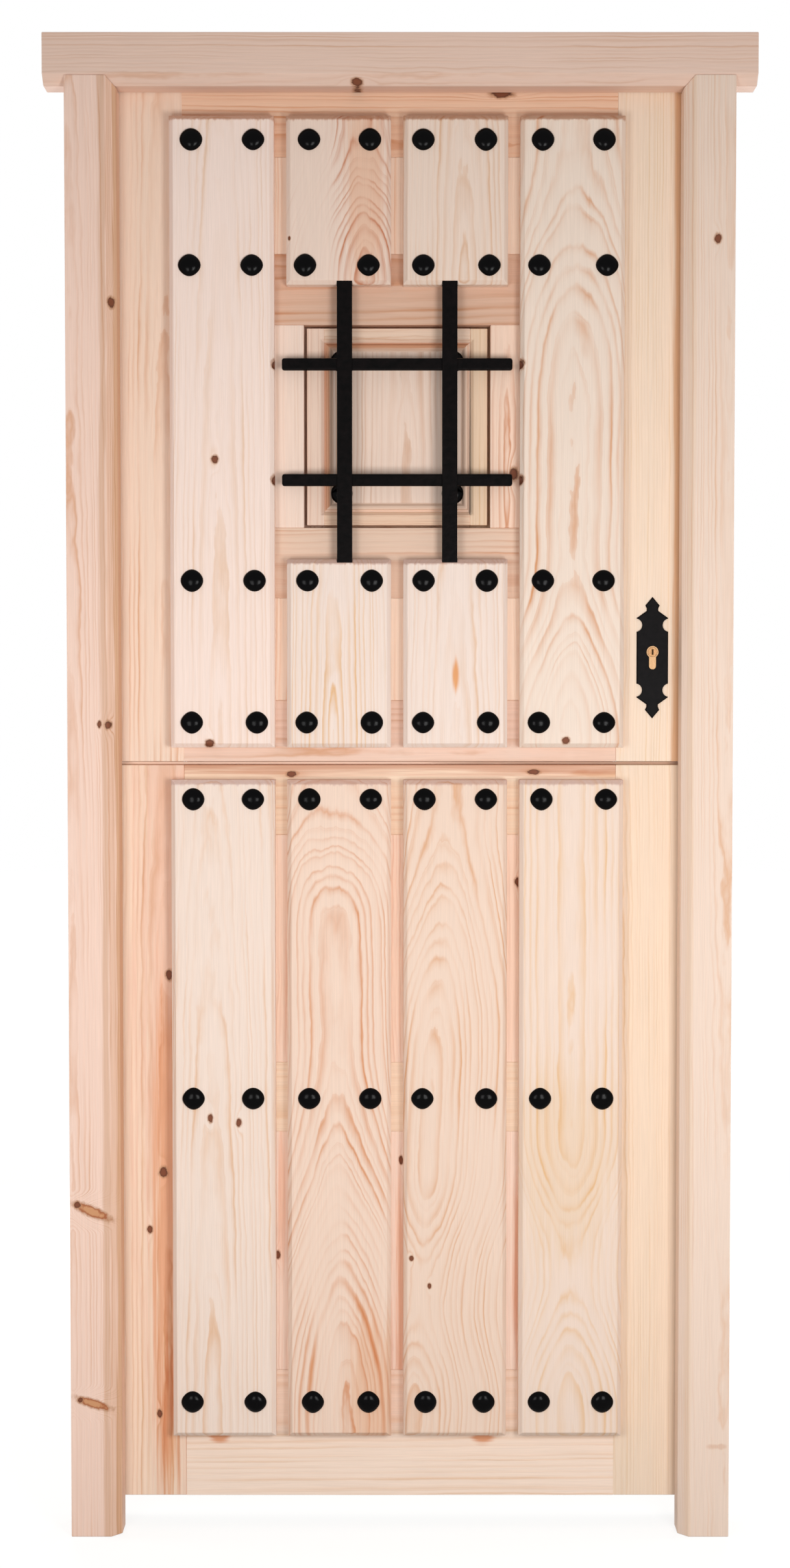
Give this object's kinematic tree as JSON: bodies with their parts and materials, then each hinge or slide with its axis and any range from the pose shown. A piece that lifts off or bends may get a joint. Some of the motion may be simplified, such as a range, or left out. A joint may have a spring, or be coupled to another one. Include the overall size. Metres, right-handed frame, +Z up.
{
  "type": "split wooden front door with frame",
  "caption": "Rustic pine front door split into an upper and a lower leaf, hung in its chamfered frame, with nailed boards, a barred window with a shutter, and a cylinder deadlock.",
  "frame": {"origin": "middle of the door at the level of the frame's feet, midway through its whole depth", "axes": "+Z up; +Y into the house, the way the leaves open; +X to the right seen from outside, towards the lock"},
  "size_m": [0.98, 0.1125, 2.085],
  "materials": {
    "pine": "raw planed pine",
    "black_iron": "black painted forged iron",
    "lock_steel": "zinc plated",
    "brass": "satin"
  },
  "bodies": {
    "frame": {"hinge_jamb": "pine", "lock_jamb": "pine", "head": "pine", "jamb_hinge_halves": "black_iron", "strike_plate": "lock_steel", "bolt_keeper": "black_iron"},
    "upper_leaf": {"cylinder_body": "brass", "grille_left_upright": "black_iron", "grille_lower_bar": "black_iron", "grille_right_upright": "black_iron", "grille_upper_bar": "black_iron", "inner_escutcheon": "black_iron", "lock_case": "lock_steel", "lock_forend": "lock_steel", "outer_escutcheon": "black_iron", "shutter_fixed_hinges": "black_iron", "upper_bottom_rail": "pine", "upper_hinge_halves": "black_iron", "upper_hinge_stile": "pine", "upper_left_board": "pine", "upper_lock_stile": "pine", "upper_muntins": "pine", "upper_nails": "black_iron", "upper_right_board": "pine", "upper_top_rail": "pine", "window_bottom_left_board": "pine", "window_bottom_right_board": "pine", "window_head_rail": "pine", "window_left_post": "pine", "window_right_post": "pine", "window_sill_rail": "pine", "window_top_left_board": "pine", "window_top_right_board": "pine"},
    "lower_leaf": {"lower_bottom_rail": "pine", "lower_first_board": "pine", "lower_fourth_board": "pine", "lower_hinge_halves": "black_iron", "lower_hinge_stile": "pine", "lower_lock_stile": "pine", "lower_middle_rail": "pine", "lower_muntins": "pine", "lower_nails": "black_iron", "lower_second_board": "pine", "lower_third_board": "pine", "lower_top_rail": "pine", "slide_bolt_plate": "black_iron"},
    "shutter": {"shutter_bottom_rail": "pine", "shutter_free_stile": "pine", "shutter_hinge_stile": "pine", "shutter_moving_hinges": "black_iron", "shutter_nails": "black_iron", "shutter_panel": "pine", "shutter_top_rail": "pine"},
    "turn_button": {"turn_button": "black_iron"},
    "cylinder_plug": {"cylinder_plug": "brass"},
    "dead_bolt": {"dead_bolt": "lock_steel"},
    "slide_bolt": {"slide_bolt": "black_iron"}
  },
  "joints": [
    {"name": "upper_leaf_hinge", "type": "hinge", "parent": "frame", "child": "upper_leaf", "pos_m": [-0.4015, 0.0465, 1.55], "axis": [0, 0, 1], "range_deg": [0, 110]},
    {"name": "lower_leaf_hinge", "type": "hinge", "parent": "frame", "child": "lower_leaf", "pos_m": [-0.4015, 0.0465, 0.56], "axis": [0, 0, 1], "range_deg": [0, 110]},
    {"name": "shutter_hinge", "type": "hinge", "parent": "upper_leaf", "child": "shutter", "pos_m": [-0.141, 0.043, 1.554], "axis": [0, 0, 1], "range_deg": [0, 100]},
    {"name": "turn_button_pivot", "type": "hinge", "parent": "upper_leaf", "child": "turn_button", "pos_m": [0.148, 0.041, 1.554], "axis": [0, 1, 0], "range_deg": [0, 90]},
    {"name": "key_turn", "type": "hinge", "parent": "upper_leaf", "child": "cylinder_plug", "pos_m": [0.3535, 0.018, 1.2395], "axis": [0, 1, 0], "range_deg": [0, 360]},
    {"name": "dead_bolt_slide", "type": "slide", "parent": "upper_leaf", "child": "dead_bolt", "axis": [1, 0, 0], "range_m": [0, 0.02]},
    {"name": "slide_bolt_slide", "type": "slide", "parent": "lower_leaf", "child": "slide_bolt", "axis": [1, 0, 0], "range_m": [0, 0.03]}
  ],
  "couplings": [
    {"joint": "dead_bolt_slide", "follows": "key_turn", "m_per_rad": 0.003183}
  ]
}
